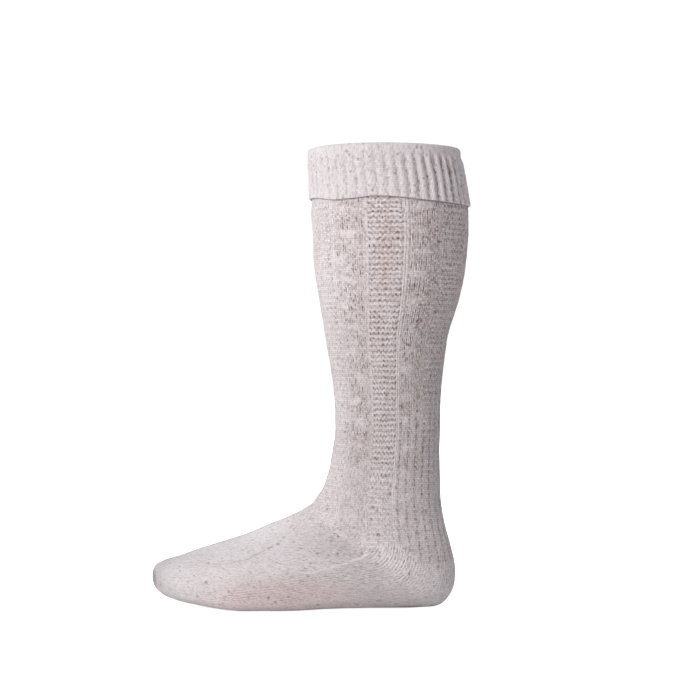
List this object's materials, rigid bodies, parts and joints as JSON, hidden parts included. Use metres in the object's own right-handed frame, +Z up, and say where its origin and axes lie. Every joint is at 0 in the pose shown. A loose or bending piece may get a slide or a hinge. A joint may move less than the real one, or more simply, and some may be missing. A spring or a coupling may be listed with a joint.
{
  "type": "knee sock",
  "caption": "Knitted knee sock as worn, with a ribbed cuff turned down over a patterned leg, a shaped heel, a plain sole and a closed toe; hollow and open at the top.",
  "frame": {"origin": "on the inner face of the sole, where the foot stands, straight below the leg's axis", "axes": "+Z up the leg, -X towards the toe, +Y towards the big toe, which makes it the sock of a left foot"},
  "size_m": [0.2626, 0.1234, 0.3741],
  "materials": {
    "ribbed_knit": "mottled ecru wool in a two by two rib, matt",
    "patterned_knit": "mottled ecru wool in ribs, garter ridges and small twists, matt",
    "plain_knit": "mottled ecru wool in plain stocking stitch, matt"
  },
  "bodies": {
    "root": {"cuff": "ribbed_knit", "leg": "patterned_knit", "instep": "patterned_knit", "heel": "plain_knit", "sole": "plain_knit", "toe": "plain_knit"}
  },
  "joints": []
}
